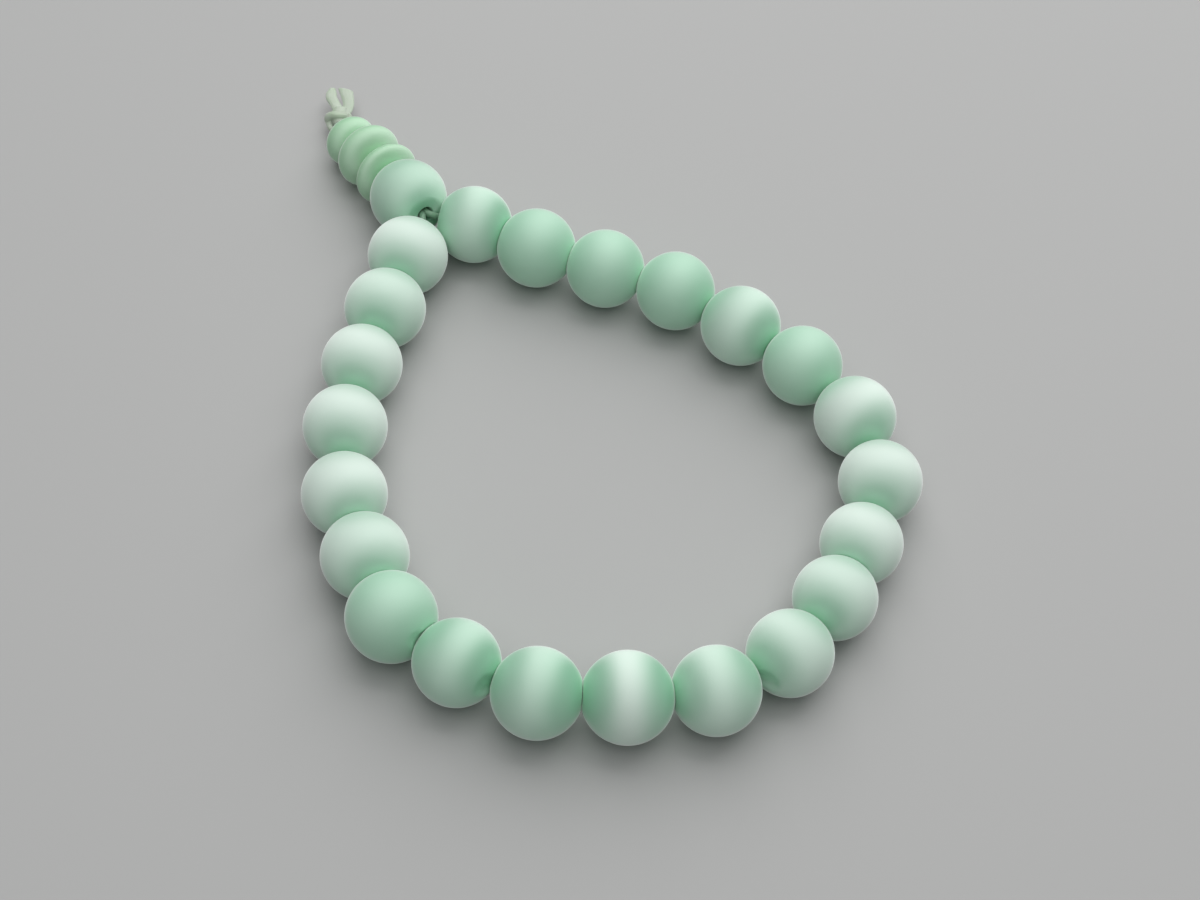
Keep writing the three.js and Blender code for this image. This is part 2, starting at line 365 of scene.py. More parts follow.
def wrap_uv(piece, ends):
    """Wraps the piece: u runs around the bore, v from the low end to the high end. The bore
    bends from its middle to the middle of each end."""
    mesh = piece.data
    for layer in list(mesh.uv_layers):
        mesh.uv_layers.remove(layer)
    places = np.zeros(len(mesh.vertices) * 3)
    mesh.vertices.foreach_get("co", places)
    places = places.reshape(-1, 3)
    spine = np.zeros_like(places)
    for end in ends:
        foot = np.array(end.facing * end.depth)
        share = np.clip(places[:, 2] / foot[2], 0, 1) ** 2
        spine[:, :2] += np.outer(share, foot[:2])
    corners = np.zeros(len(mesh.loops), dtype=int)
    mesh.loops.foreach_get("vertex_index", corners)
    x, y, z = (places - spine)[corners].T
    u = np.arctan2(y, x) / (2 * np.pi) + 0.5
    v = np.arctan2(z, np.hypot(x, y)) / np.pi + 0.5
    starts = np.zeros(len(mesh.polygons), dtype=int)
    mesh.polygons.foreach_get("loop_start", starts)
    face_of = np.repeat(np.arange(len(starts)), np.diff([*starts, len(corners)]))
    highest = np.maximum.reduceat(u, starts)[face_of]
    u[(highest - u) > 0.5] += 1
    layer = mesh.uv_layers.new(name=WRAP)
    layer.data.foreach_set("uv", np.column_stack([u, v]).ravel())


def paint_look(piece, look):
    """Stores how a bead looks on its own mesh, where its material reads it."""
    for name in ("silk", "spread", "shift", "pale"):
        layer = piece.data.attributes.new(name, "FLOAT", "POINT")
        layer.data.foreach_set("value", [getattr(look, name)] * len(piece.data.vertices))


def settle(piece, node, middle=Vector(), axes=Matrix.Identity(3)):
    """Brings a piece from millimetres about the origin to its place, and ties it to the frame."""
    activate(piece)
    piece.matrix_world = Matrix.LocRotScale(middle, axes.to_quaternion(), Vector((MM, MM, MM)))
    bpy.ops.object.transform_apply(location=True, rotation=True, scale=True)
    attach(piece, BODY)
    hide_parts(node)


# ---------------------------------------------------------------- turned beads


def lean(ball, end):
    """Leans a ball's pole over to the middle of an end, and the rings around it by less and less."""
    side = math.copysign(1, end.facing.z)
    angle = math.atan2(end.facing.x * side, end.facing.z * side)
    if abs(angle) < LEAST_LEAN:
        return
    choose_faces(ball, lambda face: face.normal.z * side > LEAN_CAP)
    bpy.ops.transform.rotate(
        value=-angle, orient_axis="Y", center_override=(0, 0, 0), use_proportional_edit=True,
        proportional_edit_falloff="SMOOTH", proportional_size=LEAN_SIZE,
    )


def grind_end(end):
    """Grinds an end of a ball flat."""
    bpy.ops.mesh.select_all(action="SELECT")
    bpy.ops.mesh.bisect(
        plane_co=end.facing * end.depth, plane_no=end.facing, use_fill=True, clear_outer=True,
        threshold=CUT_REACH,
    )


def is_cap(face, end):
    return len(face.verts) > CAP_CORNERS and face.normal.dot(end.facing) > CAP_FACING


def drill_mouth(ball, end, cap, bore, mouth, flare):
    """Insets a ground end to the mouth of the bore, and sinks the flare down to the bore."""
    choose_faces(ball, lambda face: is_cap(face, end))
    bpy.ops.mesh.inset(thickness=cap - mouth, depth=0)
    bpy.ops.mesh.extrude_region_move(TRANSFORM_OT_translate={"value": end.facing * -flare})
    shrink = bore / mouth
    bpy.ops.transform.resize(
        value=(shrink, shrink, shrink), center_override=end.facing * (end.depth - flare),
    )


def ring_test(end, radius):
    """A test for the edges of a ring around the middle of an end."""
    def on_ring(edge):
        for vertex in edge.verts:
            height = vertex.co.dot(end.facing)
            out = (vertex.co - end.facing * height).length
            if abs(height - end.depth) > RING_SLACK or abs(out - radius) > RING_SLACK:
                return False
        return True
    return on_ring


def grind_bead(ball, ends, bore, mouth, flare, shoulder):
    """Grinds both ends of a ball flat, drills it through and softens its edges. Each end comes
    with the radius of its flat."""
    edit(ball)
    for end, cap in ends:
        grind_end(end)
    for end, cap in ends:
        opening = min(mouth / 2, cap - LEAST_LAND)
        drill_mouth(ball, end, cap, opening - (mouth - bore) / 2, opening, flare)
    choose_faces(ball, lambda face: any(is_cap(face, end) for end, cap in ends))
    bpy.ops.mesh.delete(type="ONLY_FACE")
    choose_edges(ball, lambda edge: edge.is_boundary)
    bpy.ops.mesh.bridge_edge_loops()
    for end, cap in ends:
        choose_edges(ball, ring_test(end, cap))
        bpy.ops.mesh.bevel(offset=shoulder, segments=SHOULDER_STEPS, profile=0.5, affect="EDGES")
        choose_edges(ball, ring_test(end, min(mouth / 2, cap - LEAST_LAND)))
        bpy.ops.mesh.bevel(offset=MOUTH_EDGE, segments=MOUTH_STEPS, profile=0.5, affect="EDGES")
    leave_edit()


def wear_dent(ball, piece, dent):
    """Presses a soft worn dent into a bead beside one of its ends."""
    facing = piece.ends[dent.end].facing
    aside = Vector((-facing.y, facing.x, 0))
    along = math.sqrt(1 - dent.aside ** 2 - dent.up ** 2)
    outward = facing * along + aside * dent.aside + Vector((0, 0, dent.up))
    way = piece.axes.transposed() @ outward
    edit(ball)
    choose_faces(ball, lambda face: face.calc_center_median().normalized().dot(way) > DENT_CORE)
    bpy.ops.transform.translate(
        value=way * -dent.depth, use_proportional_edit=True, proportional_edit_falloff="SMOOTH",
        proportional_size=dent.breadth, use_proportional_connected=True,
    )
    leave_edit()


def finish_bead(ball, ends):
    """Welds the slivers that the cuts left, wraps the piece and shades it smooth."""
    edit(ball)
    bpy.ops.mesh.select_all(action="SELECT")
    bpy.ops.mesh.remove_doubles(threshold=SLIVER)
    leave_edit()
    wrap_uv(ball, ends)
    activate(ball)
    bpy.ops.object.shade_smooth_by_angle(angle=SMOOTH_ANGLE)


def new_ball(beads):
    """A ball 2 mm across, from which every bead is ground."""
    deselect()
    bpy.ops.mesh.primitive_uv_sphere_add(
        segments=beads.segments, ring_count=beads.rings, radius=1, calc_uvs=False,
    )
    ball = bpy.context.object
    ball.name = "master_ball"
    return ball


def ball_of_size(master, name, radius, height):
    """A copy of the master ball, stretched to that radius and that height from its middle."""
    ball = copy_of(master, name)
    edit(ball)
    bpy.ops.mesh.select_all(action="SELECT")
    bpy.ops.transform.resize(value=(radius, radius, height), center_override=(0, 0, 0))
    leave_edit()
    return ball


def own_ends(piece):
    """A piece's ends in its own axes, in millimetres."""
    return [End(piece.axes.transposed() @ end.facing, end.depth / MM) for end in piece.ends]


def make_bead(master, node, piece, beads, bore, mouth):
    """One round bead with ground ends, at its place on the string."""
    radius = piece.across / MM / 2
    ends = own_ends(piece)
    ball = ball_of_size(master, f"satin_{node}", radius, radius)
    edit(ball)
    for end in ends:
        lean(ball, end)
    leave_edit()
    caps = [(end, math.sqrt(radius ** 2 - end.depth ** 2)) for end in ends]
    grind_bead(ball, caps, bore / MM, mouth / MM, beads.flare / MM, beads.shoulder / MM)
    if node in DENTS:
        wear_dent(ball, piece, DENTS[node])
    finish_bead(ball, ends)
    paint_look(ball, BEAD_LOOKS[node])
    ball.data.materials.append(satin_mint(beads, BEAD_LOOKS[node].finish))
    settle(ball, node, piece.middle, piece.axes)


# ---------------------------------------------------------------- materials


def new_material(name):
    """A material and its emptied node tree."""
    material = bpy.data.materials.new(name)
    material.use_nodes = True
    tree = material.node_tree
    tree.nodes.clear()
    return material, tree


def add(tree, kind, **settings):
    """Adds a node with its own settings."""
    node = tree.nodes.new(kind)
    for name, value in settings.items():
        setattr(node, name, value)
    return node


def join(tree, source, target):
    tree.links.new(source, target)


def new_group(name, inputs, outputs):
    """A shader node group with named inputs, each with its default, and named outputs."""
    group = bpy.data.node_groups.new(name, "ShaderNodeTree")
    for socket, kind, default in inputs:
        made = group.interface.new_socket(socket, in_out="INPUT", socket_type=kind)
        made.default_value = default
    for socket, kind in outputs:
        group.interface.new_socket(socket, in_out="OUTPUT", socket_type=kind)
    return group, add(group, "NodeGroupInput"), add(group, "NodeGroupOutput")


def place_group(tree, group, **values):
    """Places a node group in a tree with its own values."""
    node = add(tree, "ShaderNodeGroup", node_tree=group)
    for name, value in values.items():
        node.inputs[name].default_value = value
    return node


def multiply(tree, one, other):
    node = add(tree, "ShaderNodeMath", operation="MULTIPLY")
    join(tree, one, node.inputs[0])
    if isinstance(other, (int, float)):
        node.inputs[1].default_value = other
    else:
        join(tree, other, node.inputs[1])
    return node.outputs[0]


def frost_group():
    """Fine ground frost: a height for bump, and a soft mottle from 0 to 1."""
    name = "ground_frost"
    if name in bpy.data.node_groups:
        return bpy.data.node_groups[name]
    group, given, out = new_group(
        name,
        [("Grain", "NodeSocketFloat", 9000.0), ("Clouds", "NodeSocketFloat", 260.0)],
        [("Height", "NodeSocketFloat"), ("Mottle", "NodeSocketFloat")],
    )
    place = add(group, "ShaderNodeTexCoord")
    grain = add(group, "ShaderNodeTexNoise")
    grain.inputs["Detail"].default_value = 3
    join(group, place.outputs["Object"], grain.inputs["Vector"])
    join(group, given.outputs["Grain"], grain.inputs["Scale"])
    clouds = add(group, "ShaderNodeTexNoise")
    clouds.inputs["Detail"].default_value = 2
    join(group, place.outputs["Object"], clouds.inputs["Vector"])
    join(group, given.outputs["Clouds"], clouds.inputs["Scale"])
    join(group, grain.outputs["Fac"], out.inputs["Height"])
    join(group, clouds.outputs["Fac"], out.inputs["Mottle"])
    return group


def painted_highlight_group():
    """The mask of a painted highlight: a soft band around a bead, from its wrap, 1 at its
    middle line and 0 far from it.
    """
    name = "silk_band"
    if name in bpy.data.node_groups:
        return bpy.data.node_groups[name]
    group, given, out = new_group(
        name,
        [("Width", "NodeSocketFloat", 0.2), ("Shift", "NodeSocketFloat", 0.0)],
        [("Band", "NodeSocketFloat")],
    )
    wrap = add(group, "ShaderNodeUVMap", uv_map=WRAP)
    split = add(group, "ShaderNodeSeparateXYZ")
    join(group, wrap.outputs[0], split.inputs[0])
    off = add(group, "ShaderNodeMath", operation="SUBTRACT")
    join(group, split.outputs["Y"], off.inputs[0])
    off.inputs[1].default_value = 0.5
    moved = add(group, "ShaderNodeMath", operation="SUBTRACT")
    join(group, off.outputs[0], moved.inputs[0])
    join(group, given.outputs["Shift"], moved.inputs[1])
    share = add(group, "ShaderNodeMath", operation="DIVIDE")
    join(group, moved.outputs[0], share.inputs[0])
    join(group, given.outputs["Width"], share.inputs[1])
    square = multiply(group, share.outputs[0], share.outputs[0])
    bell = add(group, "ShaderNodeMath", operation="EXPONENT")
    join(group, multiply(group, square, -1), bell.inputs[0])
    join(group, bell.outputs[0], out.inputs["Band"])
    return group


def add_bump(tree, height, strength, distance):
    bump = add(tree, "ShaderNodeBump")
    bump.inputs["Strength"].default_value = strength
    bump.inputs["Distance"].default_value = distance
    join(tree, height, bump.inputs["Height"])
    return bump.outputs["Normal"]


def mix_colour(tree, factor, one, other):
    """Mixes two colours, each a constant or a socket, by a socket."""
    node = add(tree, "ShaderNodeMix", data_type="RGBA")
    join(tree, factor, node.inputs["Factor"])
    for socket, colour in ((node.inputs[6], one), (node.inputs[7], other)):
        if hasattr(colour, "is_linked"):
            join(tree, colour, socket)
        else:
            socket.default_value = (*colour, 1)
    return node.outputs[2]


def ranged(tree, source, low, high):
    """Maps a value from 0..1 to low..high."""
    node = add(tree, "ShaderNodeMapRange")
    join(tree, source, node.inputs["Value"])
    node.inputs["To Min"].default_value = low
    node.inputs["To Max"].default_value = high
    return node.outputs["Result"]


# A highlight painted into the colour: a thin rim along the outline turns towards this.
RIM_HIGHLIGHT_COLOUR = (0.93, 1.0, 0.95)
RIM_HIGHLIGHT_THINNESS = 8  # the higher, the closer to the outline the painted rim highlight stays
SATIN_IOR = 2.3  # high, so that a rough surface shines broadly
SATIN_SHEEN = 0.7
SATIN_SHEEN_ROUGHNESS = 0.3
SATIN_GRAIN = 9000.0  # specks of ground grain a metre
SATIN_CLOUDS = 280.0  # and soft clouds of mottle
SATIN_RELIEF = 0.25  # how strongly the grain shows as bump
SATIN_DEPTH = 0.00002  # metres that the grain is deep
MOTTLE_MILK = 0.16  # the most of the milky colour that the mottle brings in
PALE_MILK = 0.5  # and that a bead's paleness brings in
HIGHLIGHT_BAND_MILK = 0.7  # and that its painted highlight band brings in
LEAF_PALING = 0.3  # how far the palest mottle of a rondelle is from its green to white
LEAF_MOTTLE = 0.5  # the most of that paler green that the mottle brings in
ELASTIC_CLEAR = 0.4  # how much of the light goes into the elastic
ELASTIC_REACH = 0.0005  # metres that it spreads inside
ELASTIC_TINT = (0.8, 1.0, 0.8)  # how far each colour spreads, as a share of that
ELASTIC_GREEN = (0.7, 0.85, 0.65)  # the greenest mottle, as a share of the elastic's colour
ELASTIC_SHEEN = 0.2
ELASTIC_ROUGHNESS = (0.28, 0.42)  # from least to most
ELASTIC_GRAIN = 5000.0  # specks of grain a metre
ELASTIC_CLOUDS = 900.0  # and soft clouds of mottle
ELASTIC_RELIEF = 0.2  # how strongly the grain shows as bump
ELASTIC_DEPTH = 0.00003  # metres that the grain is deep

# How strongly a finish streaks light around the bore, and its roughness from least to most.
Finish = namedtuple("Finish", "streak least most")
FINISHES = {
    "silky": Finish(0.85, 0.62, 0.72),
    "matte": Finish(0.30, 0.70, 0.80),
}


def painted_rim_highlight(tree, colour):
    """Paints a highlight: lightens a colour in a thin rim, where the ground surface is seen edge on."""
    edge = add(tree, "ShaderNodeLayerWeight")
    edge.inputs["Blend"].default_value = 0.5
    thin = add(tree, "ShaderNodeMath", operation="POWER")
    join(tree, edge.outputs["Facing"], thin.inputs[0])
    thin.inputs[1].default_value = RIM_HIGHLIGHT_THINNESS
    return mix_colour(tree, thin.outputs[0], colour, RIM_HIGHLIGHT_COLOUR)


def satin_shader(tree, finish):
    """The satin surface that beads and rondelles share: streaked around the bore, with a sheen
    and a fine ground grain. Returns the shader and the grain's mottle."""
    shader = add(tree, "ShaderNodeBsdfPrincipled")
    shader.inputs["IOR"].default_value = SATIN_IOR
    shader.inputs["Specular IOR Level"].default_value = 1.0
    shader.inputs["Anisotropic"].default_value = finish.streak
    shader.inputs["Sheen Weight"].default_value = SATIN_SHEEN
    shader.inputs["Sheen Roughness"].default_value = SATIN_SHEEN_ROUGHNESS
    grooves = add(tree, "ShaderNodeTangent", direction_type="UV_MAP", uv_map=WRAP)
    join(tree, grooves.outputs[0], shader.inputs["Tangent"])
    frost = place_group(tree, frost_group(), Grain=SATIN_GRAIN, Clouds=SATIN_CLOUDS)
    mottle = frost.outputs["Mottle"]
    join(tree, ranged(tree, mottle, finish.least, finish.most), shader.inputs["Roughness"])
    normal = add_bump(tree, frost.outputs["Height"], SATIN_RELIEF, SATIN_DEPTH)
    join(tree, normal, shader.inputs["Normal"])
    out = add(tree, "ShaderNodeOutputMaterial")
    join(tree, shader.outputs[0], out.inputs["Surface"])
    return shader, mottle


def satin_mint(beads, finish):
    """The beads' material of that finish, with each bead's own painted highlight band and a
    painted highlight at the rim.
    """
    name = f"{finish}_mint_stone"
    if name in bpy.data.materials:
        return bpy.data.materials[name]
    material, tree = new_material(name)
    shader, mottle = satin_shader(tree, FINISHES[finish])
    silk = add(tree, "ShaderNodeAttribute", attribute_name="silk")
    spread = add(tree, "ShaderNodeAttribute", attribute_name="spread")
    shift = add(tree, "ShaderNodeAttribute", attribute_name="shift")
    pale = add(tree, "ShaderNodeAttribute", attribute_name="pale")
    band = place_group(tree, painted_highlight_group())
    join(tree, spread.outputs["Fac"], band.inputs["Width"])
    join(tree, shift.outputs["Fac"], band.inputs["Shift"])
    body = tuple(beads.colour)
    milk = tuple(beads.milk_and_highlight_colour)
    toned = mix_colour(tree, multiply(tree, mottle, MOTTLE_MILK), body, milk)
    paler = mix_colour(tree, multiply(tree, pale.outputs["Fac"], PALE_MILK), toned, milk)
    # Painted highlight: milky white mixed in along the band where the satin streaks the light.
    highlight_share = multiply(tree, multiply(tree, band.outputs["Band"], silk.outputs["Fac"]), HIGHLIGHT_BAND_MILK)
    coloured = mix_colour(tree, highlight_share, paler, milk)
    # A painted highlight in a thin rim at the outline.
    join(tree, painted_rim_highlight(tree, coloured), shader.inputs["Base Color"])
    return material


def satin_leaf(rondelles):
    """The rondelles' material, without a painted highlight band but with the painted rim highlight."""
    name = "satin_leaf_stone"
    if name in bpy.data.materials:
        return bpy.data.materials[name]
    material, tree = new_material(name)
    shader, mottle = satin_shader(tree, FINISHES["silky"])
    leaf = tuple(rondelles.colour)
    pale = tuple((1 - LEAF_PALING) * part + LEAF_PALING for part in leaf)
    coloured = mix_colour(tree, multiply(tree, mottle, LEAF_MOTTLE), leaf, pale)
    # A painted highlight in a thin rim at the outline.
    join(tree, painted_rim_highlight(tree, coloured), shader.inputs["Base Color"])
    return material


def milky_elastic(name, colour):
    """Half-clear elastic, softly mottled towards green."""
    material, tree = new_material(name)
    shader = add(tree, "ShaderNodeBsdfPrincipled")
    shader.inputs["Subsurface Weight"].default_value = ELASTIC_CLEAR
    shader.inputs["Subsurface Radius"].default_value = ELASTIC_TINT
    shader.inputs["Subsurface Scale"].default_value = ELASTIC_REACH
    shader.inputs["Sheen Weight"].default_value = ELASTIC_SHEEN
    out = add(tree, "ShaderNodeOutputMaterial")
    join(tree, shader.outputs[0], out.inputs["Surface"])
    frost = place_group(tree, frost_group(), Grain=ELASTIC_GRAIN, Clouds=ELASTIC_CLOUDS)
    mottle = frost.outputs["Mottle"]
    milk = tuple(colour)
    green = tuple(part * share for part, share in zip(milk, ELASTIC_GREEN))
    join(tree, mix_colour(tree, mottle, green, milk), shader.inputs["Base Color"])
    join(tree, ranged(tree, mottle, *ELASTIC_ROUGHNESS), shader.inputs["Roughness"])
    normal = add_bump(tree, frost.outputs["Height"], ELASTIC_RELIEF, ELASTIC_DEPTH)
    join(tree, normal, shader.inputs["Normal"])
    return material


# ---------------------------------------------------------------- cord and knot

# The knot in millimetres about its middle: one turn of doubled cord, and each other part by
# its points with the radius at each.
WRAP_TURN = [
    Vector(place) for place in (
        (0.95, -0.20, 0.40), (0.20, 0.10, 0.55), (-0.50, 0.72, 0.40), (-0.74, 0.86, 0.0),
        (-0.45, 0.45, -0.45), (0.15, 0.05, -0.65), (0.90, -0.30, -0.50), (1.15, -0.30, 0.0),
        (0.95, -0.20, 0.40),
    )
]
LEFT_END = [
    ((0.40, 0.40, 0.1), 0.62), ((0.76, 1.55, 0.15), 0.62), ((0.88, 2.25, 0.2), 0.58),
    ((1.00, 3.25, 0.3), 0.64), ((1.32, 3.85, 0.3), 0.60), ((1.85, 4.50, 0.2), 0.34),
]
RIGHT_END = [
    ((0.60, 0.10, 0.1), 0.60), ((1.55, 0.80, 0.15), 0.62), ((2.10, 1.45, 0.3), 0.64),
    ((2.50, 2.40, 0.4), 0.70), ((2.85, 3.35, 0.45), 0.80), ((3.15, 4.20, 0.45), 0.80),
]
RIGHT_CUT, RIGHT_CUT_FACING = Vector((2.88, 3.36, 0.4)), Vector((0.75, 0.66, 0)).normalized()
PALM = [((0.0, -0.6, 0.0), 0.75), ((0.40, 0.40, 0.05), 1.0), ((1.05, 1.25, 0.15), 0.85)]
STRAND_IN = [((-0.70, 0.75, -0.2), 0.34), ((-1.02, 0.10, -0.4), 0.34), ((-0.85, -1.0, -0.5), 0.34)]
PALM_THICK = 2.6  # the palm's thickness in ribbons
KNOT_VOXEL = 0.05  # millimetres, the grain at which the knot's parts are fused
KNOT_SOFTENING = 4  # rounds of smoothing after that
KNOT_SHARE = 0.75  # of the way from the tail's end to the knot's middle, where the strands end


def tube(name, points, radii):
    """A closed round tube along smooth handles through points in millimetres."""
    deselect()
    curve = bpy.data.curves.new(name, "CURVE")
    curve.dimensions = "3D"
    curve.resolution_u = TUBE_STEPS
    curve.use_fill_caps = True
    curve.bevel_depth = 1.0
    curve.bevel_resolution = TUBE_ROUNDNESS
    spline = curve.splines.new("BEZIER")
    spline.bezier_points.add(len(points) - 1)
    for knot, point, radius in zip(spline.bezier_points, points, radii):
        knot.co = point
        knot.radius = radius
        knot.handle_left_type = knot.handle_right_type = "AUTO"
    piece = bpy.data.objects.new(name, curve)
    bpy.context.scene.collection.objects.link(piece)
    activate(piece)
    bpy.ops.object.convert(target="MESH")
    piece = bpy.context.object
    edit(piece)
    bpy.ops.mesh.select_all(action="SELECT")
    bpy.ops.mesh.remove_doubles(threshold=CAP_WELD)
    leave_edit()
    return piece


def flattened(piece, thick):
    """Presses a tube flat to that thickness about its own middle height."""
    heights = [vertex.co.z for vertex in piece.data.vertices]
    low, high = min(heights), max(heights)
    edit(piece)
    bpy.ops.mesh.select_all(action="SELECT")
    bpy.ops.transform.resize(
        value=(1, 1, thick / (high - low)), center_override=(0, 0, (low + high) / 2),
    )
    leave_edit()
    return piece


def cut_across(piece, place, facing):
    """Cuts off what lies beyond a place, the way that the cut faces, and closes the cut."""
    edit(piece)
    bpy.ops.mesh.select_all(action="SELECT")
    bpy.ops.mesh.bisect(
        plane_co=place, plane_no=facing, use_fill=True, clear_outer=True, threshold=CUT_REACH,
    )
    leave_edit()


def tail_end():
    last = tail_pieces()[-1]
    return end_middle(last, 1)


def end_middle(piece, which):
    """The middle of an end of a piece: 0 is the one it is threaded by first, 1 the other."""
    return piece.middle + piece.ends[which].facing * piece.ends[which].depth


def knot_middle(knot):
    end = tail_end()
    return Vector((end.x + knot.side, end.y + knot.past, knot.height))


def cord_points(cords, knot):
    """The string's points from the knot down the tail, around the loop and back."""
    tail = tail_pieces()
    end, towards = tail_end(), knot_middle(knot)
    aside = Vector((cords.strand_offset, 0, 0))

    def strand(side):
        points = [end.lerp(towards, KNOT_SHARE), end]
        for piece in reversed(tail):
            points.append(piece.middle)
        points.append(end_middle(tail[0], 0))
        return [point + aside * side for point in points]

    loop = loop_pieces()
    around = [end_middle(loop[0], 0)]
    for place, piece in enumerate(loop):
        start, stop = around[-1], end_middle(piece, 1)
        if place + 1 < len(loop):
            stop = (stop + end_middle(loop[place + 1], 0)) / 2
        around += [(start + stop) / 2, stop]
    return [*strand(1), *around, *reversed(strand(-1))]


# ---------------------------------------------------------------- the stage's values

# A square light: its turn around the part from the camera's azimuth and its elevation in
# degrees, its distance and its side in metres, and its power in watts.
Light = namedtuple("Light", "name turn elevation distance size power")
LIGHTS = [
    Light("key", 170, 50, 0.45, 0.6, 2.0),
    Light("overhead", 0, 78, 0.50, 0.5, 1.1),
]
SKY_COLOUR = (0.95, 0.98, 1.0, 1)
SKY_STRENGTH = 0.18
FLOOR_SIZE = 4  # metres
FLOOR_ROUGHNESS = 0.75
SENSOR_WIDTH = 36  # millimetres
NEAREST = 0.01  # metres from the camera, the nearest that it sees


# ---------------------------------------------------------------- operators


class BRACELET_OT_loop_beads(bpy.types.Operator):
    """Grinds the beads of the loop and threads them on the string"""
    bl_idname = "bracelet.loop_beads"
    bl_label = "Loop Beads"

    def execute(self, context):
        beads = context.scene.bracelet_beads
        master = new_ball(beads)
        for node, piece in zip(LOOP_BEADS, loop_pieces()):
            make_bead(master, node, piece, beads, beads.bore, beads.mouth)
        discard(master)
        return {"FINISHED"}


class BRACELET_OT_guru_bead(bpy.types.Operator):
    """Grinds the guru bead, which both strands run through"""
    bl_idname = "bracelet.guru_bead"
    bl_label = "Guru Bead"

    def execute(self, context):
        beads = context.scene.bracelet_beads
        master = new_ball(beads)
        make_bead(master, GURU, tail_pieces()[0], beads, beads.tail_bore, beads.tail_mouth)
        discard(master)
        return {"FINISHED"}


class BRACELET_OT_rondelles(bpy.types.Operator):
    """Grinds the low spacer beads of the tail"""
    bl_idname = "bracelet.rondelles"
    bl_label = "Rondelles"

    def execute(self, context):
        beads = context.scene.bracelet_beads
        rondelles = context.scene.bracelet_rondelles
        master = new_ball(beads)
        for node, piece in zip(RONDELLES, tail_pieces()[1:]):
            radius = piece.across / MM / 2 - RIM_EASE
            ends = own_ends(piece)
            land = rondelles.land / MM
            height = ends[1].depth / math.sqrt(1 - (land / radius) ** 2)
            ball = ball_of_size(master, f"satin_{node}", radius, height)
            grind_bead(
                ball, [(end, land) for end in ends], beads.tail_bore / MM, beads.tail_mouth / MM,
                beads.flare / MM, RONDELLE_SHOULDER,
            )
            finish_bead(ball, ends)
            ball.data.materials.append(satin_leaf(rondelles))
            settle(ball, node, piece.middle, piece.axes)
        discard(master)
        return {"FINISHED"}


class BRACELET_OT_elastic_cord(bpy.types.Operator):
    """Runs the elastic cord through the tail and around the loop"""
    bl_idname = "bracelet.elastic_cord"
    bl_label = "Elastic Cord"

    def execute(self, context):
        cords = context.scene.bracelet_cord
        points = [point / MM for point in cord_points(cords, context.scene.bracelet_knot)]
        radius = cords.across / MM / 2
        piece = tube("stretch_cord", points, [radius] * len(points))
        activate(piece)
        bpy.ops.object.shade_smooth()
        # The cord's colour is painted shade, darker than the knot's of the same elastic.
        piece.data.materials.append(milky_elastic("clear_elastic_cord", cords.colour))
        settle(piece, "elastic_cord")
        return {"FINISHED"}


class BRACELET_OT_end_knot(bpy.types.Operator):
    """Ties the closing knot with its two flattened cut ends"""
    bl_idname = "bracelet.end_knot"
    bl_label = "End Knot"

    def execute(self, context):
        knot = context.scene.bracelet_knot
        thick = knot.ribbon / MM
        body = tube("end_knot_body", WRAP_TURN, [knot.cord / MM / 2] * len(WRAP_TURN))
        parts = [
            flattened(tube("left_end", *zip(*LEFT_END)), thick),
            flattened(tube("right_end", *zip(*RIGHT_END)), thick),
            flattened(tube("palm", *zip(*PALM)), PALM_THICK * thick),
            tube("strand_in", *zip(*STRAND_IN)),
        ]
        cut_across(parts[1], RIGHT_CUT, RIGHT_CUT_FACING)
        activate(body)
        for part in parts:
            part.select_set(True)
        bpy.ops.object.join()
        remesh = body.modifiers.new("fuse", "REMESH")
        remesh.mode = "VOXEL"
        remesh.voxel_size = KNOT_VOXEL
        bpy.ops.object.modifier_apply(modifier=remesh.name)
        smooth = body.modifiers.new("soften", "SMOOTH")
        smooth.iterations = KNOT_SOFTENING
        bpy.ops.object.modifier_apply(modifier=smooth.name)
        bpy.ops.object.shade_smooth()
        body.data.materials.append(milky_elastic("milky_elastic_knot", knot.colour))
        settle(body, "end_knot", knot_middle(knot))
        return {"FINISHED"}


def away_from(azimuth, elevation):
    """The way from the part to what stands at that azimuth and elevation around it."""
    return Vector((
        math.sin(azimuth) * math.cos(elevation),
        -math.cos(azimuth) * math.cos(elevation),
        math.sin(elevation),
    ))


def soft_light(name, aim, azimuth, elevation, distance, size, power):
    """A broad square studio light that faces the aim."""
    away = away_from(azimuth, elevation)
    deselect()
    bpy.ops.object.light_add(type="AREA", location=aim + away * distance)
    light = bpy.context.object
    light.name = name
    light.rotation_mode = "QUATERNION"
    light.rotation_quaternion = away.to_track_quat("Z", "Y")
    light.data.shape = "SQUARE"
    light.data.size = size
    light.data.energy = power


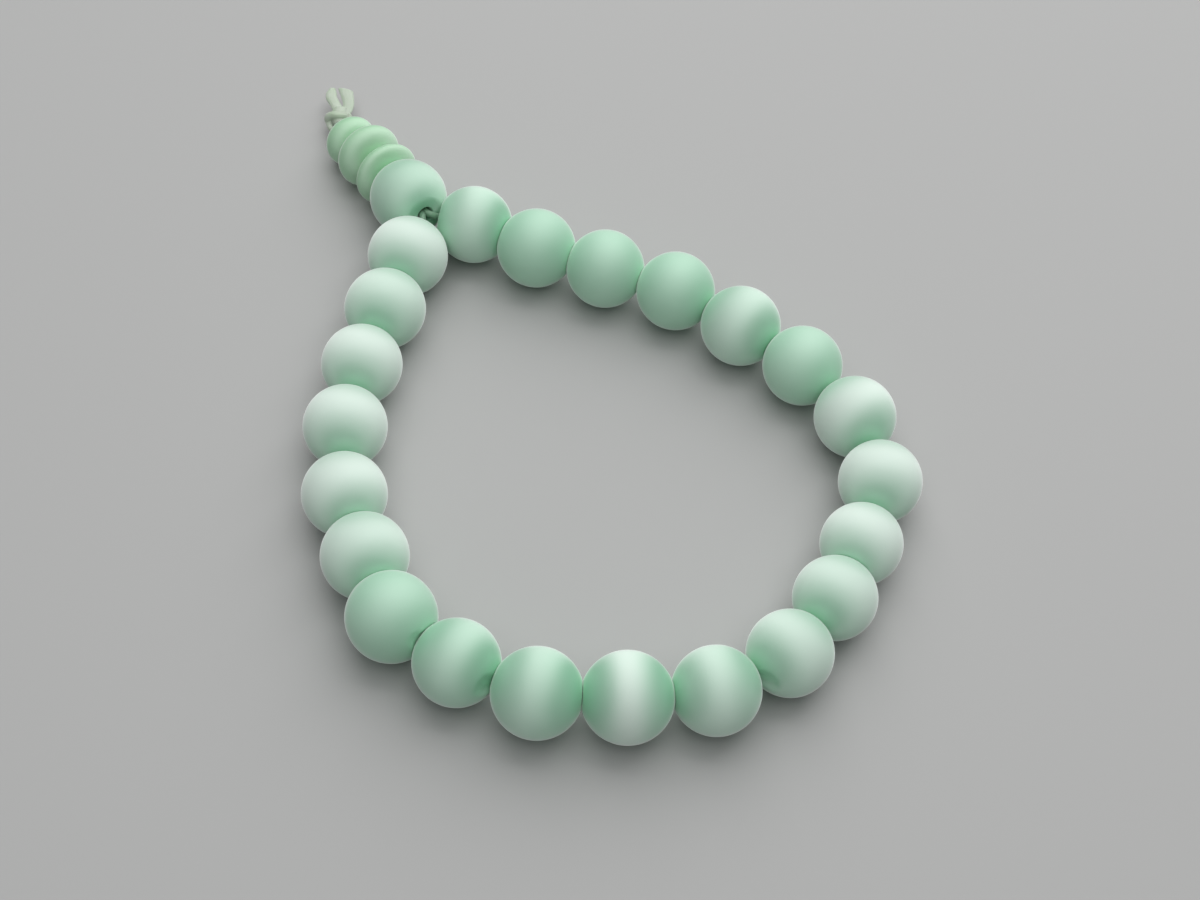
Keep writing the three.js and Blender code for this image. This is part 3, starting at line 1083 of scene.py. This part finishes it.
class BRACELET_OT_stage(bpy.types.Operator):
    """Sets the pale floor, the soft studio lights and the camera"""
    bl_idname = "bracelet.stage"
    bl_label = "Stage"

    def execute(self, context):
        stage = context.scene.bracelet_stage
        guru = tail_pieces()[0].middle
        target = Vector((guru.x + stage.target[0], guru.y + stage.target[1], 0))
        deselect()
        bpy.ops.mesh.primitive_plane_add(size=FLOOR_SIZE)
        floor = bpy.context.object
        floor.name = "floor"
        material, tree = new_material("pale_floor")
        shader = add(tree, "ShaderNodeBsdfPrincipled")
        shader.inputs["Base Color"].default_value = (*stage.floor_colour, 1)
        shader.inputs["Roughness"].default_value = FLOOR_ROUGHNESS
        out = add(tree, "ShaderNodeOutputMaterial")
        join(tree, shader.outputs[0], out.inputs["Surface"])
        floor.data.materials.append(material)

        world = bpy.data.worlds.new("studio")
        world.use_nodes = True
        sky = world.node_tree.nodes["Background"]
        sky.inputs["Color"].default_value = SKY_COLOUR
        sky.inputs["Strength"].default_value = SKY_STRENGTH
        context.scene.world = world

        for light in LIGHTS:
            azimuth = stage.azimuth + math.radians(light.turn)
            elevation = math.radians(light.elevation)
            soft_light(light.name, target, azimuth, elevation, light.distance, light.size, light.power)

        back = away_from(stage.azimuth, stage.elevation)
        deselect()
        bpy.ops.object.camera_add(location=target + back * stage.distance)
        camera = bpy.context.object
        camera.name = "camera"
        camera.rotation_mode = "QUATERNION"
        camera.rotation_quaternion = back.to_track_quat("Z", "Y") @ Quaternion((0, 0, 1), stage.roll)
        camera.data.lens = stage.lens
        camera.data.sensor_width = SENSOR_WIDTH
        camera.data.clip_start = NEAREST
        context.scene.camera = camera
        context.scene.view_settings.view_transform = "Standard"
        return {"FINISHED"}


class BRACELET_PT_panel(bpy.types.Panel):
    """Lists the bracelet's operators"""
    bl_label = "Bracelet"
    bl_idname = "BRACELET_PT_panel"
    bl_space_type = "VIEW_3D"
    bl_region_type = "UI"
    bl_category = "Bracelet"

    def draw(self, context):
        for operator in OPERATORS:
            self.layout.operator(operator.bl_idname)


OPERATORS = (
    BRACELET_OT_stage,
    BRACELET_OT_loop_beads,
    BRACELET_OT_guru_bead,
    BRACELET_OT_rondelles,
    BRACELET_OT_elastic_cord,
    BRACELET_OT_end_knot,
)
SETTINGS = {
    "bracelet_beads": BeadSettings,
    "bracelet_rondelles": RondelleSettings,
    "bracelet_cord": CordSettings,
    "bracelet_knot": KnotSettings,
    "bracelet_stage": StageSettings,
}


def register():
    for name, group in SETTINGS.items():
        bpy.utils.register_class(group)
        setattr(bpy.types.Scene, name, PointerProperty(type=group))
    for operator in OPERATORS:
        bpy.utils.register_class(operator)
    bpy.utils.register_class(BRACELET_PT_panel)


def unregister():
    bpy.utils.unregister_class(BRACELET_PT_panel)
    for operator in reversed(OPERATORS):
        bpy.utils.unregister_class(operator)
    for name, group in SETTINGS.items():
        delattr(bpy.types.Scene, name)
        bpy.utils.unregister_class(group)


def main():
    register()
    bpy.ops.bracelet.stage()
    bpy.ops.bracelet.loop_beads()
    bpy.ops.bracelet.guru_bead()
    bpy.ops.bracelet.rondelles()
    bpy.ops.bracelet.elastic_cord()
    bpy.ops.bracelet.end_knot()


if __name__ == "__main__":
    main()
